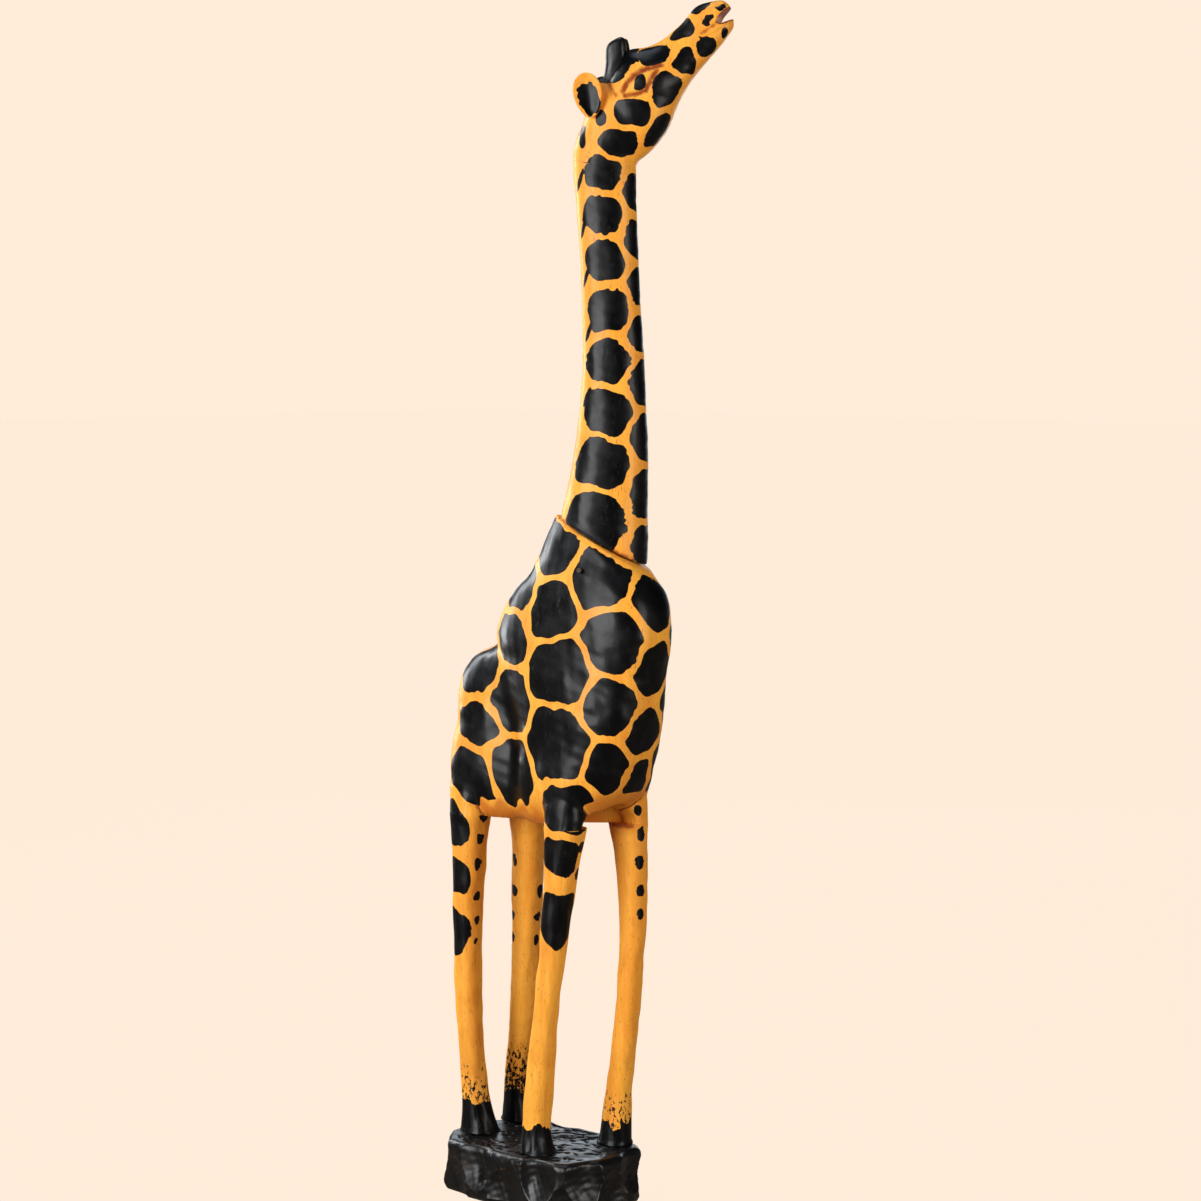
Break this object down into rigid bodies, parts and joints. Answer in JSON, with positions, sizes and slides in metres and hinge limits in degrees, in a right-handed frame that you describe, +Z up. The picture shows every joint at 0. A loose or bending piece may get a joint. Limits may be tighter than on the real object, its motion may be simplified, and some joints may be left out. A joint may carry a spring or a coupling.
{
  "type": "carved giraffe statue",
  "caption": "Tall carved wooden giraffe standing on a gouged block, head raised and turned, painted with dark spots on yellow.",
  "frame": {"origin": "middle of the base block's underside, on the floor", "axes": "+X the way the giraffe's body faces, +Y the giraffe's left, +Z up"},
  "size_m": [0.3846, 0.1847, 1.4799],
  "materials": {
    "painted_coat": "yellow-dyed carved wood with painted black spots under a satin varnish",
    "painted_leg": "yellow-dyed carved wood with small black spots and a black painted hoof, satin varnish",
    "black_horn": "carved wood painted satin black",
    "painted_ear": "yellow-dyed carved wood with a black painted inner patch",
    "tail_hair": "carved wood painted black, yellow at the root",
    "black_block": "gouged block painted black, rubbed brown on the ridges",
    "dowel_wood": "plain turned hardwood",
    "peg_wood": "hardwood peg, stained dark at its end",
    "screw_steel": "zinc-plated steel, dulled"
  },
  "bodies": {
    "root": {"base_block": "black_block", "front_right_leg": "painted_leg", "front_left_leg": "painted_leg", "rear_right_leg": "painted_leg", "rear_left_leg": "painted_leg", "body": "painted_coat", "neck": "painted_coat", "head": "painted_coat", "right_ear": "painted_ear", "left_ear": "painted_ear", "right_horn": "black_horn", "left_horn": "black_horn", "tail": "tail_hair", "head_dowel": "dowel_wood", "neck_pin": "peg_wood", "front_right_foot_screw": "screw_steel", "front_left_foot_screw": "screw_steel", "rear_right_foot_screw": "screw_steel", "rear_left_foot_screw": "screw_steel"}
  },
  "joints": []
}
